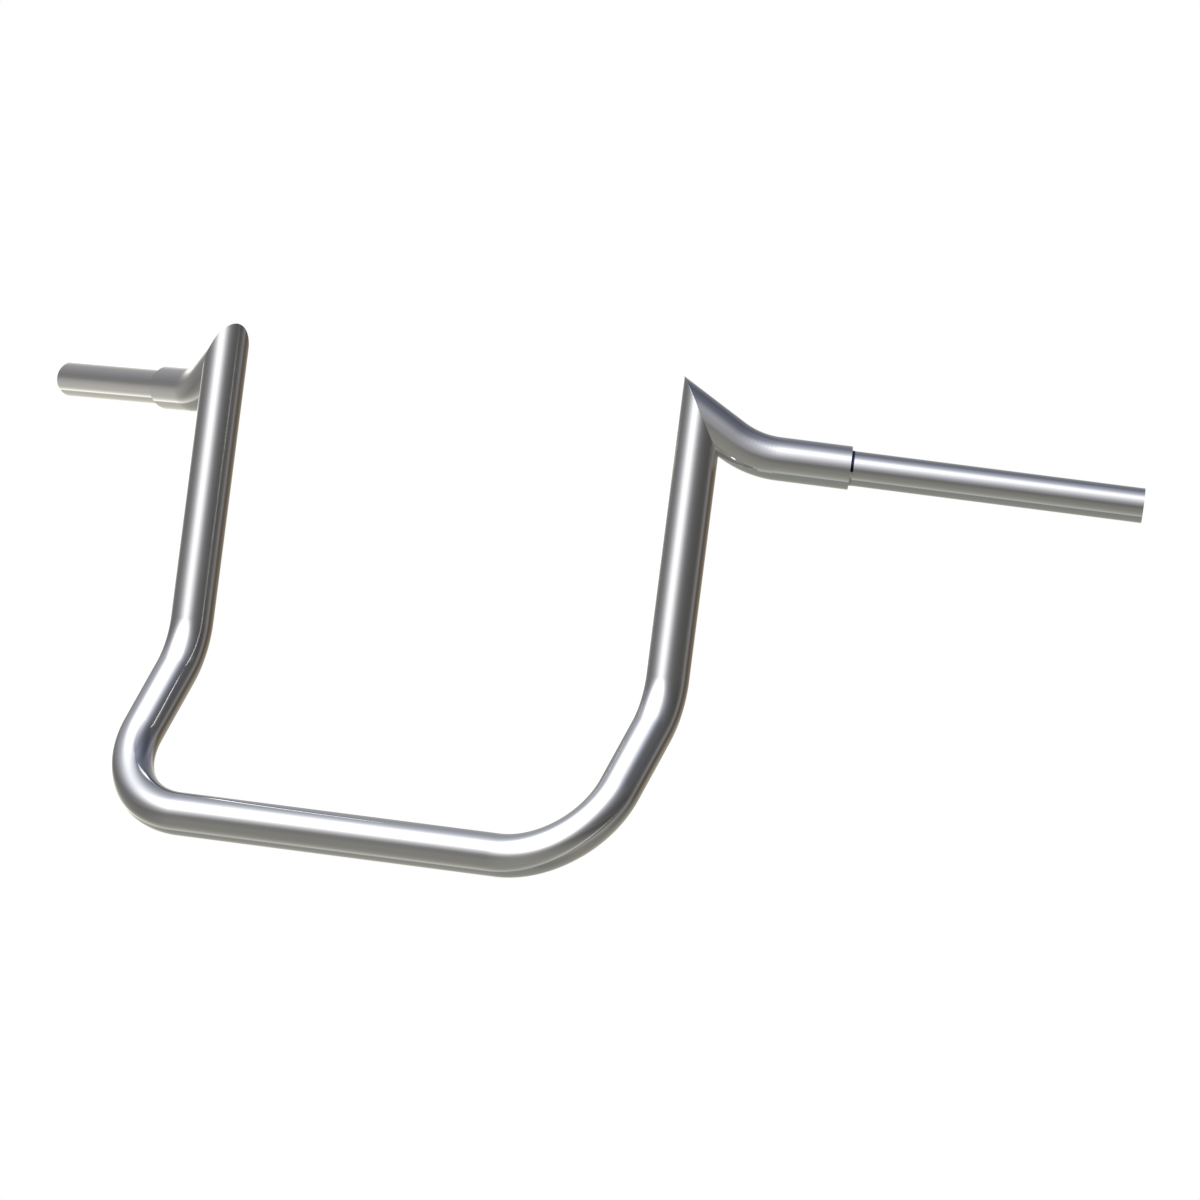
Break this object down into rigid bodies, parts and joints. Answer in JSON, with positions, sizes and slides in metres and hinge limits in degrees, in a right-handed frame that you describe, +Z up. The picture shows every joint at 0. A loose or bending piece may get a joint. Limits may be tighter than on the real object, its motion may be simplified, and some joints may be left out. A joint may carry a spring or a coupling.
{
  "type": "ape hanger handlebar",
  "caption": "Tall motorbike handlebar of bent steel tube: a U with leaning slants and upright risers, mitred fat arms and thinner swept-back grip tubes.",
  "frame": {"origin": "middle of the bottom bar, on its centreline", "axes": "+X along the bottom bar to the rider's left, +Y rearward to the rider, +Z up along the risers"},
  "size_m": [0.9674, 0.2957, 0.3756],
  "materials": {
    "steel": "satin polished, with the grain running along the tubes"
  },
  "bodies": {
    "root": {"base_tube": "steel", "left_arm_tube": "steel", "right_arm_tube": "steel", "left_grip_tube": "steel", "right_grip_tube": "steel"}
  },
  "joints": []
}
